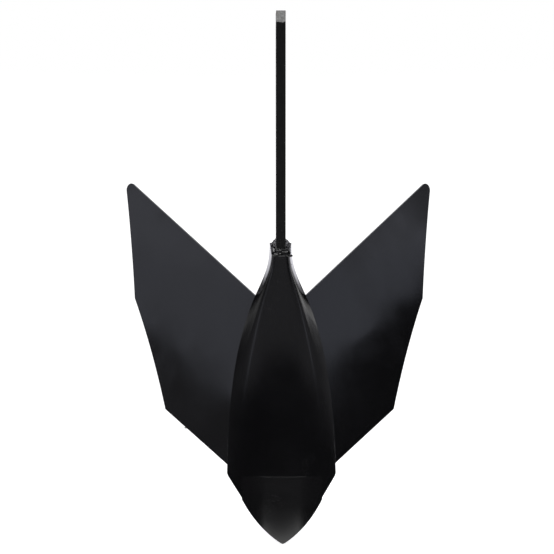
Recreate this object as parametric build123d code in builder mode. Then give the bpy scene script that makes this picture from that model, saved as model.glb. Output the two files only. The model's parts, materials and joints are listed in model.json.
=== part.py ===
from build123d import *
from math import cos, hypot, radians, sin, sqrt, tan
import os

# Ridging plough body for a walking tiller: a pressed breast with a share on its point,
# hung on a flat-bar shank, and two wings that swing in to narrow the furrow.
# Millimetres. The front faces -Y, X is to the right as seen from the front, Z is up.
# The origin is the centre of the row of hitch holes, in the middle of the bar.

# ---- Driving sizes ----

# Shank: flat bar on edge
bar_thick = 12.0
bar_deep = 40.0
hole_dia = 13.0
hole_pitch = 30.0
hole_count = 5
hole_margin = 22.0        # top hole's centre to the bar's top end
shank_tail = 261.0        # length of bar below the front of the neck

# Breast: pressed sheet, upright at the neck and curving forward to the point
neck_drop = 226.0         # hitch centre down to the front of the neck
sheet = 3.0
neck_gap = 3.0            # bar's front edge to the sheet
neck_half = 14.0
neck_rake = 26.0          # degrees that the neck's top edge climbs to the rear
ridge_radius = 524.0
neck_depth = 36.0         # ridge back to the side edges, at the neck
breast_half = 67.6
breast_depth = 38.0       # and at the full width
neck_flare = 7.0          # degrees that the side edges lean out, at the neck
edge_flare = 37.0         # and at the full width
corner_drop = 269.0       # neck down to the lower corners
breast_end = 322.0        # neck down to the breast's lowest point, behind the share
corner_round = 8.0
share_lap = 3.0           # share's outline beyond the breast's, at its side corners

# Share: curved plate welded over the breast's point
share_lead = 6.0          # thickness, measured straight ahead
share_half = 48.9
share_top = 269.0         # neck down to the share's top edge
share_side = 296.0        # neck down to where its sides turn in
tip_drop = 344.5          # neck down to the tip
share_bulge = 4.5         # how far its lower edges bow out
tip_round = 3.0

# Frog: upright plate between the bar and the ridge
web_thick = 8.0
web_start = 48.0          # neck down to its top
web_end = 306.0           # neck down to its foot
web_foot = 30.0           # length of its foot, behind the ridge

# Weld round the neck, on the sheet's top edge
weld_height = 4.6
weld_bevel = 2.8
weld_run = 34.0           # back along the bar from the front of the neck

# Wings and their hinges
sweep = 40.0              # degrees back from straight across, wings full out
lean = 12.0               # degrees that hinges and wings lean back
hinge_inset = 39.6        # breast's side edges in to the hinges
hinge_y = -26.0
hinge_drop = 181.0        # neck down to the middle of the hinges
wing_thick = 3.0
knuckle_r = 7.0
knuckle_len = 40.0
foot_wide = 10.0          # flat foot of a knuckle on the wing
pin_dia = 8.0
running_gap = 0.06        # radial play round every pin
end_gap = 0.5             # play between knuckle and lug
lug_thick = 6.0
lug_high = 48.0           # middle of the hinge up to the upper lug's middle
lug_low = -62.0           # and down to the lower lug's
lug_clear = 0.6           # lugs, pin's head and washer to the wing's front face
lug_front = 18.0          # how far the lugs run ahead of the pins
lug_back = -5.0           # their rear edge between pin and frog, clear of the wing's inner edge
pin_head = 4.0
head_round = 1.0
pin_tail = 9.0
cotter_dia = 2.4
cotter_leg = 7.0          # pin's axis to each end of the legs

# Wing's outline in its own plane: along the wing from the hinge, and up the hinge
wing_tip = (239.8, 331.0)
wing_shoulder = (219.5, 161.0)
wing_hip = (163.2, 6.5)
wing_inner = -8.0
upper_slope = 0.848       # rise of the upper edge for each millimetre along
lower_slope = 0.765
wing_hollow = 3.0         # how far the edge below the shoulder bows in
wing_waist = 1.8          # and the edge above it
tip_fillet = 7.5

# Adjuster: a slotted arm from each wing to one clamp bolt behind the bar
clamp_reach = 70.0        # hinge axis back to the clamp bolt
bolt_dia = 8.0
bolt_play = 0.25
bracket_thick = 6.0
bracket_half = 17.0
bracket_grip = 22.0       # length of the bracket's fork along the bar
arm_thick = 4.0
arm_wide = 24.0
arm_gap = 0.1             # play between flat faces that slide
slot_play = 1.0           # each side of the clamp bolt
slot_spare = 4.0          # slot beyond the bolt's travel, each end
swing_angle = 20.0        # degrees that a wing closes
wing_lug_along = 90.0     # along the wing from the hinge to the arm's pivot
wing_lug_back = 15.0      # wing's back to the arm's pivot
wing_lug_wide = 34.0
lug_end_r = 11.0
washer_thick = 1.6
washer_r = 12.0
small_washer_r = 8.0
nut_flats = 13.0
nut_thick = 6.5
head_thick = 5.3
thread_spare = 5.0
spring_thick = 2.0
spring_split = 1.0
weld_leg = 4.0

# ---- Worked out from them ----

neck_z = -neck_drop
shank_top = hole_margin + hole_pitch * (hole_count - 1) / 2
shank_foot = neck_z - shank_tail
neck_front = -(bar_deep / 2 + neck_gap + sheet)
hinge_x = breast_half - hinge_inset
hinge_z = neck_z - hinge_drop
lean_r = radians(lean)
sweep_r = radians(sweep)
hinge_dir = Vector(0, sin(lean_r), cos(lean_r))
back_dir = Vector(0, cos(lean_r), -sin(lean_r))
far = 300.0               # beyond every edge, for cutting forms

# Breast's growth in width, from form_over above the neck to form_under below the tip, at even steps
form_over = 26.0
form_under = 10.0
form_growth = (0.0, 0.055, 0.345, 0.60, 0.775, 0.885, 0.955, 0.99, 1.0, 1.0, 1.0)
form_step = (form_over + tip_drop + form_under) / (len(form_growth) - 1)
# Its section, at the neck and at the full width
form_half = (neck_half, breast_half)
form_flare = (neck_flare, edge_flare)
form_depth = (neck_depth, breast_depth)
form_nose = (0.95, 0.50)  # part of the half width over which the nose is square
form_flank = (0.74, 0.50)  # part of the depth over which the flanks are straight
form_past = 70.0          # length behind the side edges, where the form has to clear the breast


def ridge_y(drop):
    """Depth of the ridge: an arc of ridge_radius that is upright at the neck."""
    return neck_front - ridge_radius + sqrt(ridge_radius**2 - max(drop, 0.0) ** 2)


def grown(sizes, spread):
    """Size of a section, spread of the way from its size at the neck to that at the full width."""
    return sizes[0] + spread * (sizes[1] - sizes[0])


def level(height):
    """Plane square to the hinges, height up them: its x is X and its y runs back."""
    middle = Vector(0, hinge_y, hinge_z) + hinge_dir * height
    return Plane(origin=middle, x_dir=(1, 0, 0), z_dir=hinge_dir)


def along_wing(along, back, angle=sweep_r):
    """Point of a level, along the right wing and behind its hinge axis."""
    return (hinge_x + along * cos(angle) - back * sin(angle), along * sin(angle) + back * cos(angle))


def breast_form(inset=0.0, forward=0.0, lap=0.0, past=0.0):
    """Solid form filled by the breast, drawn in by inset and moved forward.

    Its flanks run on for lap, and what lies between them for past, behind the breast's side edges."""
    with BuildPart() as form:
        for place, spread in enumerate(form_growth):
            drop = place * form_step - form_over
            half = grown(form_half, spread)
            depth = grown(form_depth, spread)
            flare = radians(grown(form_flare, spread))
            slope = max(drop, 0.0) / ridge_radius
            nose = ridge_y(drop) + inset / sqrt(1 - slope**2) - forward
            side = half - inset / cos(flare)
            rear = ridge_y(drop) + depth - forward
            edge = (side + lap * tan(flare), rear + lap)
            flank = grown(form_flank, spread) * depth + lap
            with BuildSketch(Plane.XY.offset(neck_z - drop)):
                with BuildLine():
                    skin = Bezier(
                        (0, nose),
                        (grown(form_nose, spread) * side, nose),
                        (edge[0] - flank * tan(flare), edge[1] - flank),
                        edge,
                    )
                    if past:
                        edge = Line(edge, (edge[0], rear + past)) @ 1
                    Line(edge, (0, rear + past))
                    mirror(about=Plane.YZ)
                make_face()
        loft()
    return form.part


outer_form = breast_form()
inner_form = breast_form(inset=sheet, lap=sheet, past=form_past)
share_form = breast_form(forward=share_lead)

# ---- Shank ----

with BuildPart() as shank:
    with BuildSketch(Plane.YZ):
        with Locations((0, (shank_top + shank_foot) / 2)):
            Rectangle(bar_deep, shank_top - shank_foot)
        with GridLocations(0, hole_pitch, 1, hole_count):
            Circle(hole_dia / 2, mode=Mode.SUBTRACT)
    extrude(amount=bar_thick / 2, both=True)

# ---- Breast, share and the frog between them and the bar ----

with BuildPart() as breast:
    add(outer_form)
    add(inner_form, mode=Mode.SUBTRACT)
    # top edge climbs to the rear
    rise = far * tan(radians(neck_rake))
    with BuildSketch(Plane.YZ):
        with BuildLine():
            Polyline(
                (neck_front - far, neck_z - rise),
                (neck_front + far, neck_z + rise),
                (neck_front - far, neck_z + rise),
                close=True,
            )
        make_face()
    extrude(amount=far, both=True, mode=Mode.SUBTRACT)
    # lower corners, and the edges that run in behind the share
    with BuildSketch(Plane.XZ) as lower_outline:
        with BuildLine():
            Polyline(
                (breast_half, neck_z + far),
                (breast_half, neck_z - corner_drop),
                (share_half - share_lap, neck_z - share_side - share_lap),
                (0, neck_z - breast_end),
                (share_lap - share_half, neck_z - share_side - share_lap),
                (-breast_half, neck_z - corner_drop),
                (-breast_half, neck_z + far),
                close=True,
            )
        make_face()
        fillet(lower_outline.vertices().group_by(Axis.Y)[-2], corner_round)
    extrude(amount=far, both=True, mode=Mode.INTERSECT)

with BuildPart() as share:
    add(share_form)
    add(outer_form, mode=Mode.SUBTRACT)
    with BuildSketch(Plane.XZ) as share_outline:
        with BuildLine():
            top = Line((0, neck_z - share_top), (share_half, neck_z - share_top))
            side = Line(top @ 1, (share_half, neck_z - share_side))
            SagittaArc(side @ 1, (0, neck_z - tip_drop), share_bulge)
            mirror(about=Plane.YZ)
        make_face()
        fillet(share_outline.vertices().group_by(Axis.Y)[0], tip_round)
    extrude(amount=far, both=True, mode=Mode.INTERSECT)

with BuildPart() as frog:
    with BuildSketch(Plane.YZ):
        with BuildLine():
            Polyline(
                (-bar_deep / 2, neck_z - web_start),
                (-bar_deep / 2, shank_foot),
                (ridge_y(web_end) + web_foot, neck_z - web_end),
                (-far, neck_z - web_end),
                (-far, neck_z - web_start),
                close=True,
            )
        make_face()
    extrude(amount=web_thick / 2, both=True)
    add(inner_form, mode=Mode.INTERSECT)

with BuildPart() as neck_weld:
    rake_r = radians(neck_rake)
    collar = Plane((0, neck_front, neck_z), x_dir=(1, 0, 0), z_dir=(0, -sin(rake_r), cos(rake_r)))
    with BuildSketch(collar):
        with Locations((0, (weld_run + sheet) / 2)):
            RectangleRounded(2 * neck_half - sheet, weld_run, bar_thick / 2)
    extrude(amount=weld_height)
    chamfer(neck_weld.faces().sort_by(Axis(collar.origin, collar.z_dir))[-1].edges(), weld_bevel)
    add(shank.part, mode=Mode.SUBTRACT)

# ---- Hinges: two lugs, a pin, a washer and a cotter on each side ----

lug_round = knuckle_r - lug_clear
with BuildPart() as right_hinge_lugs:
    for height in (lug_low, lug_high):
        with BuildSketch(level(height - lug_thick / 2)):
            with BuildLine():
                Polyline(
                    (web_thick / 2, -lug_front),
                    (far, -lug_front),
                    (far, lug_back),
                    (hinge_x + knuckle_r, lug_back),
                    (hinge_x + lug_round, 0),
                    (hinge_x - lug_round, 0),
                    (hinge_x - knuckle_r, lug_back),
                    (web_thick / 2, lug_back),
                    close=True,
                )
            make_face()
            with Locations((hinge_x, 0)):
                Circle(lug_round)
                Circle(pin_dia / 2 + running_gap, mode=Mode.SUBTRACT)
        extrude(amount=lug_thick)
    add(inner_form, mode=Mode.INTERSECT)
    add(shank.part, mode=Mode.SUBTRACT)

pin_top = lug_high + lug_thick / 2
washer_foot = lug_low - lug_thick / 2 - washer_thick
cotter_height = washer_foot - cotter_dia
with BuildPart() as right_hinge_pin:
    with BuildSketch(level(washer_foot - pin_tail)):
        with Locations((hinge_x, 0)):
            Circle(pin_dia / 2)
    extrude(amount=pin_top + pin_tail - washer_foot)
    with BuildSketch(level(pin_top)):
        with Locations((hinge_x, 0)):
            Circle(lug_round)
    extrude(amount=pin_head)
    with BuildSketch(Plane(level(cotter_height).origin, x_dir=(0, 1, 0), z_dir=(1, 0, 0))):
        Circle(cotter_dia / 2 + running_gap)
    extrude(amount=2 * hinge_x, mode=Mode.SUBTRACT)
    fillet(right_hinge_pin.edges().filter_by(GeomType.CIRCLE).group_by(Axis.Z)[-1], head_round)

with BuildPart() as right_hinge_washer:
    with BuildSketch(level(washer_foot)):
        with Locations((hinge_x, 0)):
            Circle(lug_round)
            Circle(pin_dia / 2 + bolt_play, mode=Mode.SUBTRACT)
    extrude(amount=washer_thick)

with BuildPart() as right_hinge_cotter:
    legs_end = level(cotter_height).from_local_coords((hinge_x - cotter_leg, 0, 0))
    eye = level(cotter_height).from_local_coords((hinge_x + cotter_leg + cotter_dia, 0, 0))
    with BuildSketch(Plane(legs_end, x_dir=(0, 1, 0), z_dir=(1, 0, 0))):
        Circle(cotter_dia / 2)
    extrude(amount=2 * cotter_leg)
    with Locations(Location(Plane(eye, z_dir=hinge_dir))):
        Torus(cotter_dia, cotter_dia / 2)

# ---- Wings ----

wing_face = Plane(
    origin=(hinge_x, hinge_y, hinge_z),
    x_dir=Vector(cos(sweep_r), 0, 0) + back_dir * sin(sweep_r),
    z_dir=Vector(sin(sweep_r), 0, 0) - back_dir * cos(sweep_r),
).offset(-knuckle_r)

with BuildPart() as right_wing:
    with BuildSketch(wing_face) as wing_outline:
        with BuildLine():
            inner_top = (wing_inner, wing_tip[1] - upper_slope * (wing_tip[0] - wing_inner))
            inner_foot = (wing_inner, wing_hip[1] - lower_slope * (wing_hip[0] - wing_inner))
            Line(inner_top, wing_tip)
            SagittaArc(wing_tip, wing_shoulder, -wing_waist)
            SagittaArc(wing_shoulder, wing_hip, -wing_hollow)
            Line(wing_hip, inner_foot)
            Line(inner_foot, inner_top)
        make_face()
    extrude(amount=-wing_thick)
    corners = right_wing.edges().filter_by(Axis(wing_face.origin, wing_face.z_dir))
    fillet(corners.sort_by(Axis.Z)[-1], tip_fillet)

with BuildPart() as right_wing_knuckles:
    for start in (lug_low + lug_thick / 2 + end_gap, lug_high - lug_thick / 2 - end_gap - knuckle_len):
        with BuildSketch(level(start)):
            with Locations((hinge_x, 0)):
                Circle(knuckle_r)
            with BuildLine():
                Polyline(
                    along_wing(-foot_wide / 2, 0),
                    along_wing(foot_wide / 2, 0),
                    along_wing(foot_wide / 2, knuckle_r),
                    along_wing(-foot_wide / 2, knuckle_r),
                    close=True,
                )
            make_face()
            with Locations((hinge_x, 0)):
                Circle(pin_dia / 2 + running_gap, mode=Mode.SUBTRACT)
        extrude(amount=knuckle_len)

# ---- Clamp bracket on the back of the bar ----

bar_back = (bar_deep / 2 - hinge_y) / cos(lean_r)
fork_start = bar_back - bracket_grip
with BuildPart() as clamp_bracket:
    with BuildSketch(level(-bracket_thick / 2)):
        with Locations((0, (fork_start + clamp_reach) / 2)):
            Rectangle(2 * bracket_half, clamp_reach - fork_start)
        with Locations((0, clamp_reach)):
            Circle(bracket_half)
            Circle(bolt_dia / 2 + bolt_play, mode=Mode.SUBTRACT)
    extrude(amount=bracket_thick)
    add(shank.part, mode=Mode.SUBTRACT)

with BuildPart() as bracket_welds:
    for side in (-1, 1):
        for face in (-1, 1):
            corner = level(face * bracket_thick / 2).from_local_coords((side * bar_thick / 2, fork_start, 0))
            with BuildSketch(Plane(corner, x_dir=(1, 0, 0), z_dir=back_dir)):
                with BuildLine():
                    Polyline((0, 0), (side * weld_leg, 0), (0, -face * weld_leg), close=True)
                make_face()
            extrude(amount=bracket_grip - weld_leg)

# ---- Adjusters: lug, slotted arm, pivot bolt and nut for each wing ----

pivot_back = knuckle_r + wing_thick + wing_lug_back
arm_top = bracket_thick / 2 + arm_gap + arm_thick + arm_gap
rest_x, rest_y = along_wing(wing_lug_along, pivot_back)
shut_x, shut_y = along_wing(wing_lug_along, pivot_back, sweep_r + radians(swing_angle))
rest_reach = hypot(rest_x, clamp_reach - rest_y)
shut_reach = hypot(shut_x, clamp_reach - shut_y)


def wing_lug(side):
    """Plate on the wing's back that carries the arm's pivot, level with the bracket."""
    with BuildPart() as lug:
        with BuildSketch(level(-bracket_thick / 2)):
            corners = [
                along_wing(wing_lug_along - wing_lug_wide / 2, knuckle_r + wing_thick),
                along_wing(wing_lug_along + wing_lug_wide / 2, knuckle_r + wing_thick),
                along_wing(wing_lug_along + lug_end_r, pivot_back),
                along_wing(wing_lug_along - lug_end_r, pivot_back),
            ]
            with BuildLine():
                Polyline(*[(side * x, y) for x, y in corners], close=True)
            make_face()
            with Locations((side * rest_x, rest_y)):
                Circle(lug_end_r)
                Circle(bolt_dia / 2 + bolt_play, mode=Mode.SUBTRACT)
        extrude(amount=bracket_thick)
    return lug


def slotted_arm(side, face):
    """Flat arm from the wing's lug past the clamp bolt; face is +1 above the bracket, -1 below."""
    low = face * (bracket_thick / 2 + arm_gap)
    pivot = level(low).from_local_coords((side * rest_x, rest_y, 0))
    clamp = level(low).from_local_coords((0, clamp_reach, 0))
    length = rest_reach + slot_spare
    slot = rest_reach - shut_reach + 2 * slot_spare
    with BuildPart() as arm:
        with BuildSketch(Plane(pivot, x_dir=clamp - pivot, z_dir=hinge_dir)):
            with Locations((length / 2, 0)):
                SlotCenterToCenter(length, arm_wide)
            with Locations((length - slot / 2, 0)):
                SlotCenterToCenter(slot, bolt_dia + 2 * slot_play, mode=Mode.SUBTRACT)
            Circle(bolt_dia / 2 + running_gap, mode=Mode.SUBTRACT)
        extrude(amount=face * arm_thick)
    return arm


def hex_bolt(place, under_head, tip):
    """Hex bolt on a level place, from under its head to its tip, heights up the hinge."""
    way = 1 if tip > under_head else -1
    with BuildPart() as bolt:
        with BuildSketch(level(under_head)):
            with Locations(place):
                RegularPolygon(nut_flats / 2, 6, major_radius=False)
        extrude(amount=-way * head_thick)
        with BuildSketch(level(under_head)):
            with Locations(place):
                Circle(bolt_dia / 2)
        extrude(amount=tip - under_head)
    return bolt


def hex_nut(place, seat, face):
    """Hex nut on a level place, its seat at a height and its body on the side of face."""
    with BuildPart() as nut:
        with BuildSketch(level(seat)):
            with Locations(place):
                RegularPolygon(nut_flats / 2, 6, major_radius=False)
                Circle(bolt_dia / 2 + running_gap, mode=Mode.SUBTRACT)
        extrude(amount=face * nut_thick)
    return nut


def washers(place, seats, radius, thick):
    """Plain washers on a level place, one on each seat, growing away from the middle."""
    with BuildPart() as rings:
        for seat in seats:
            with BuildSketch(level(seat)):
                with Locations(place):
                    Circle(radius)
                    Circle(bolt_dia / 2 + bolt_play, mode=Mode.SUBTRACT)
            extrude(amount=thick if seat > 0 else -thick)
    return rings


pieces = {
    "shank": shank,
    "breast": breast,
    "share": share,
    "frog": frog,
    "neck_weld": neck_weld,
    "clamp_bracket": clamp_bracket,
    "bracket_welds": bracket_welds,
}

for hand, side, face in (("left", -1, 1), ("right", 1, -1)):
    pivot = (side * rest_x, rest_y)
    outer = face * (arm_top + washer_thick)
    pieces[f"{hand}_wing_lug"] = wing_lug(side)
    pieces[f"{hand}_arm"] = slotted_arm(side, face)
    pieces[f"{hand}_arm_bolt"] = hex_bolt(
        pivot, -face * bracket_thick / 2, outer + face * (nut_thick + thread_spare)
    )
    pieces[f"{hand}_arm_washer"] = washers(pivot, (face * arm_top,), small_washer_r, washer_thick)
    pieces[f"{hand}_arm_nut"] = hex_nut(pivot, outer, face)

# ---- Clamp bolt through both slots and the bracket ----

clamp_place = (0, clamp_reach)
clamp_seat = arm_top + washer_thick
with BuildPart() as clamp_spring_washer:
    with BuildSketch(level(clamp_seat)):
        with Locations(clamp_place):
            Circle(small_washer_r)
            Circle(bolt_dia / 2 + bolt_play, mode=Mode.SUBTRACT)
        with Locations((small_washer_r, clamp_reach)):
            Rectangle(small_washer_r, spring_split, mode=Mode.SUBTRACT)
    extrude(amount=spring_thick)

nut_seat = clamp_seat + spring_thick
pieces["clamp_bolt"] = hex_bolt(clamp_place, -clamp_seat, nut_seat + nut_thick + thread_spare)
pieces["clamp_washers"] = washers(clamp_place, (arm_top, -arm_top), washer_r, washer_thick)
pieces["clamp_spring_washer"] = clamp_spring_washer
pieces["clamp_nut"] = hex_nut(clamp_place, nut_seat, 1)

# ---- The hinge pieces and wings, right and mirrored left ----

for name, right in {
    "wing": right_wing,
    "wing_knuckles": right_wing_knuckles,
    "hinge_lugs": right_hinge_lugs,
    "hinge_pin": right_hinge_pin,
    "hinge_washer": right_hinge_washer,
    "hinge_cotter": right_hinge_cotter,
}.items():
    with BuildPart() as left:
        mirror(right.part, about=Plane.YZ)
    pieces[f"right_{name}"] = right
    pieces[f"left_{name}"] = left

os.makedirs("parts", exist_ok=True)
for name, piece in pieces.items():
    piece.part.label = name
    export_step(piece.part, f"parts/{name}.step")
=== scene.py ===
import json
from math import atan2, cos, hypot, pi, radians, sin, tan

import bmesh
import bpy
import numpy as np
from mathutils import Matrix, Vector


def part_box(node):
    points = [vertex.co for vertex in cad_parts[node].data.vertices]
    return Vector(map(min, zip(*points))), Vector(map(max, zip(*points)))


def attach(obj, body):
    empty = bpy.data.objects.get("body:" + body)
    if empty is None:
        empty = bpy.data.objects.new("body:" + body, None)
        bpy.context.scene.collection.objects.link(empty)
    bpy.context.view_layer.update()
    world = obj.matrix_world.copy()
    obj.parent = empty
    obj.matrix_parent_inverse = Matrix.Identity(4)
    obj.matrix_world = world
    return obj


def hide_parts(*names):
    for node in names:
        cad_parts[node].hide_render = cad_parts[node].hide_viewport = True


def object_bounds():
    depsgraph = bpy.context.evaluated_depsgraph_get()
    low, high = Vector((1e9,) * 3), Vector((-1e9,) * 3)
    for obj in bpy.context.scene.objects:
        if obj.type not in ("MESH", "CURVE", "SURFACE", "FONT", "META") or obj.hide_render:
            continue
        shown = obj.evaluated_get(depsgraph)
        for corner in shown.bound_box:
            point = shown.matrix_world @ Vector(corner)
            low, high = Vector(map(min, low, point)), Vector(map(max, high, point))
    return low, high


# Ridging plough body: the finished surfaces round the CAD frame. The front faces -Y, X is to the
# right as seen from the front and Z is up. Sizes are in millimetres, as in the part's source, and
# piece() turns them into metres. Finishes, lamps and the camera are in metres.

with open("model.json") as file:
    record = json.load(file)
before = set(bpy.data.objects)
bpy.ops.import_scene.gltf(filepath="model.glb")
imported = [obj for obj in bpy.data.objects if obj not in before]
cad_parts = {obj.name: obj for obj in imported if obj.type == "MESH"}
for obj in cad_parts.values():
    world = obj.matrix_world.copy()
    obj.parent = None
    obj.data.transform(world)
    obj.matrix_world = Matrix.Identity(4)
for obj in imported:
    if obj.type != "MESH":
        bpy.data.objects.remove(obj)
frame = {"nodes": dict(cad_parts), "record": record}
cad_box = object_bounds()

MM = 0.001
X_WAY = np.array([1.0, 0.0, 0.0])
FRONT_WAY = np.array([0.0, -1.0, 0.0])
HANDS = (("left", -1), ("right", 1))  # with the sign of their x


def box(node):
    """Lowest and highest corner of a CAD node, in millimetres."""
    return tuple(np.array(corner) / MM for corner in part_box(node))


# ---- Sizes ----

bar_low, bar_high = box("shank")
bar_half = bar_high[0]
bar_front = bar_low[1]
bar_back = bar_high[1]
bare_top = 15.0           # bare steel above the paint
edge_ragged = 6.0         # how far the paint's edge wanders, and over how much it thins out
edge_thin = 1.5

# Breast: pressed sheet, from the neck down to the point
sheet = 3.0
neck_drop = 226.0
neck_z = -neck_drop
neck_gap = 3.0            # bar's front edge to the sheet
neck_front = bar_front - neck_gap - sheet
neck_rake = radians(26.0)
ridge_radius = 524.0
corner_drop = 269.0
breast_end = 322.0
corner_round = 8.0
# Its growth in width, from form_over above the neck to form_under below the tip, at even steps
form_over = 26.0
form_under = 10.0
form_growth = (0.0, 0.055, 0.345, 0.60, 0.775, 0.885, 0.955, 0.99, 1.0, 1.0, 1.0)
# Its section, at the neck and at the full width
form_half = (14.0, 67.6)
form_depth = (36.0, 38.0)
form_flare = (radians(7.0), radians(37.0))
form_nose = (0.95, 0.50)  # part of the half width over which the nose is square
form_flank = (0.74, 0.50)  # part of the depth over which the flanks are straight
breast_half = form_half[1]

# Share: plate over the breast's point
share_lead = 6.0          # thickness, measured straight ahead
share_half = 48.9
share_lap = 3.0           # its outline beyond the breast's, at its side corners
share_top = 269.0
share_side = 296.0
tip_drop = 344.5
share_bulge = 4.5         # how far its lower edges bow out
tip_round = 1.4
form_step = (form_over + tip_drop + form_under) / (len(form_growth) - 1)  # of form_growth

# Frog behind the ridge
web_half = box("frog")[1][0]
web_start = 48.0
web_end = 306.0
bar_bead_end = 255.0      # foot of the beads between it and the bar

# Hinges, from the record's joint: its axis leans back
swing = next(j for j in frame["record"]["behaviour"]["joints"] if j["name"] == "right_wing_swing")
hinge = np.array(swing["pos_m"]) / MM
up_way = np.array(swing["axis"]) / np.linalg.norm(swing["axis"])
back_way = np.cross(up_way, X_WAY)
lean = atan2(up_way[1], up_way[2])
sweep = radians(40.0)
along_way = X_WAY * cos(sweep) + back_way * sin(sweep)
out_way = X_WAY * sin(sweep) - back_way * cos(sweep)
knuckle_r = 7.0
knuckle_spans = ((-58.5, -18.5), (4.5, 44.5))
lug_heights = (-62.0, 48.0)
lug_half = 3.0
lug_span = (-18.0, -5.0)
foot_half = 5.0

# Wings
wing_thick = 3.0
wing_tip = (239.8, 331.0)
wing_shoulder = (219.5, 161.0)
wing_hip = (163.2, 6.5)
wing_inner = -8.0
upper_slope = 0.848
lower_slope = 0.765
wing_hollow = 3.0         # how far the edge below the shoulder bows in
wing_waist = 1.8          # and the edge above it
tip_fillet = 7.5
wing_wave = 0.10          # height and length of the sheet's faint waves
wave_length = 150.0
wave_start = 60.0         # along the wing, where they reach their height

# Adjuster: an arm from each wing to one clamp bolt behind the bar
clamp_reach = 70.0
bracket_thick = 6.0
wing_lug_along = 90.0
wing_lug_wide = 34.0
wing_lug_back = 15.0
bracket_grip = 22.0       # length of the bracket's fork along the bar
arm_thick = 4.0
arm_gap = 0.1

# Bolts, nuts and washers
bolt_r = 4.0
washer_thick = 1.6
nut_thick = 6.5
head_thick = 5.3
nut_flats = 13.0
nut_bevel = radians(30.0)
bevel_start = 0.96        # part of half the flats at which the bevel starts
pitch = 1.25              # of the thread
thread_depth = 0.61       # part of the pitch
thread_spare = 5.0        # thread beyond the nut
thread_chamfer = 0.8
bore_play = 0.05          # nut's bore round its bolt
bore_sink = 0.6
spring_thick = 2.0        # room of the spring washer
ring_slack = 0.15         # its wire thinner than that, each face
ring_radii = (4.3, 7.9)
ring_cut = 0.10           # half the angle between its cut ends
ring_wind = 0.25          # rise from one end to the other

# Hinge pins and their cotters
pin_tail = 9.0            # pin below its washer
pin_chamfer = 0.8
head_clear = 0.6          # head's edge to the wing's front face
head_wall = 2.6
head_dome = 1.4
cotter_drop = 2.4         # cotter below the washer
wire_r = 0.6
wire_half = 0.55          # half the distance between the legs' middles
loop_reach = 7.6          # pin's axis to the loop's middle
loop_half = 2.3
loop_bulge = 1.5
leg_bends = ((4.6, 0.55), (5.8, 1.3), (6.6, 2.9))  # out from the pin's axis, and off the middle

# Weld beads: parts of a bead's leg, and the lengths of its scales and lumps
bead_fill = 0.62
bead_stand = 0.12
scale_depth = 0.05
scale_bow = 0.55          # part of a scale by which its middle runs ahead
scale_pitch = 1.9
lump_depth = 0.07
lump_length = 5.0

# Neck weld, round the bar's front
neck_run = 26.0           # back along each of the bar's sides
neck_rise = 9.0           # up the bar
neck_widths = (5.2, 6.6)  # out from the bar: on the ridge, and past it
neck_narrow = 0.22        # part of each half that is on the ridge
neck_waver = 0.5          # how far its outer edge wavers
neck_turn = 6.0           # length over which it turns the bar's corner
neck_taper = 0.12         # part of each half over which it runs out
neck_face = 14.0          # length of its face, from bar to sheet
neck_swell = 1.5          # how far its face swells, and the small lumps on that
neck_lumps = 0.5
neck_sunk = 0.6           # its inner edge into the bar
neck_deep = 2.5           # its underside below its outer edge
burr_along = 127.0        # along the left wing, a burr on its trimmed lower edge

# Floor, below the share's point
floor_drop = 1.0
floor_half = 6000.0

# ---- Curves ----


def grown(sizes, spread):
    """Size of a section, spread of the way from the neck to the full width."""
    return sizes[0] + spread * (sizes[1] - sizes[0])


def growth(drop):
    """Natural cubic spline through form_growth, whose values are form_step apart."""
    values = np.array(form_growth)
    count = len(values)
    ties = np.eye(count) * 4 + np.eye(count, k=1) + np.eye(count, k=-1)
    ties[0], ties[-1] = np.eye(count)[0], np.eye(count)[-1]
    pull = np.zeros(count)
    pull[1:-1] = 6 * (values[2:] - 2 * values[1:-1] + values[:-2])
    bend = np.linalg.solve(ties, pull)
    place = np.clip((drop + form_over) / form_step, 0, count - 1.001)
    i = place.astype(int)
    b = place - i
    a = 1 - b
    return a * values[i] + b * values[i + 1] + ((a**3 - a) * bend[i] + (b**3 - b) * bend[i + 1]) / 6


def ridge_y(drop):
    """Depth of the ridge: an arc of ridge_radius, upright at the neck."""
    return neck_front - ridge_radius + np.sqrt(ridge_radius**2 - np.maximum(drop, 0) ** 2)


def skin(u, drop, inset=0.0, forward=0.0):
    """Point of the breast's right half: a cubic Bezier from the ridge, u = 0, to the edge, u = 1."""
    spread = growth(drop)
    half = grown(form_half, spread)
    flare = grown(form_flare, spread)
    slope = np.maximum(drop, 0) / ridge_radius
    nose = ridge_y(drop) + inset / np.sqrt(1 - slope**2) - forward
    side = half - inset / np.cos(flare)
    depth = grown(form_depth, spread)
    rear = ridge_y(drop) + depth - forward
    flank = grown(form_flank, spread) * depth
    xs = (0.0, grown(form_nose, spread) * side, side - flank * np.tan(flare), side)
    ys = (nose, nose, rear - flank, rear)
    shares = ((1 - u) ** 3, 3 * u * (1 - u) ** 2, 3 * u**2 * (1 - u), u**3)
    return tuple(sum(share * c for share, c in zip(shares, cs)) for cs in (xs, ys))


def crossing(rises, low, high, halvings=40):
    """Where a rising function passes zero, by halving the stretch from low to high."""
    for _ in range(halvings):
        middle = (low + high) / 2
        over = rises(middle) > 0
        low, high = np.where(over, low, middle), np.where(over, middle, high)
    return (low + high) / 2


def skin_point(s, drop, inset=0.0):
    """Breast's skin from its left edge, s = -1, to its right, s = 1."""
    x, y = skin(np.abs(s), drop, inset)
    return np.stack([np.sign(s) * x, y, np.broadcast_to(neck_z - drop, x.shape)], axis=-1)


def skin_depth(x, drop, inset=0.0, forward=0.0):
    """Depth of the breast's skin where it is seen at x."""

    def past_x(u):
        return skin(u, drop, inset, forward)[0] - np.abs(x)

    return skin(crossing(past_x, 0.0, 1.0), drop, inset, forward)[1]


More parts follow.
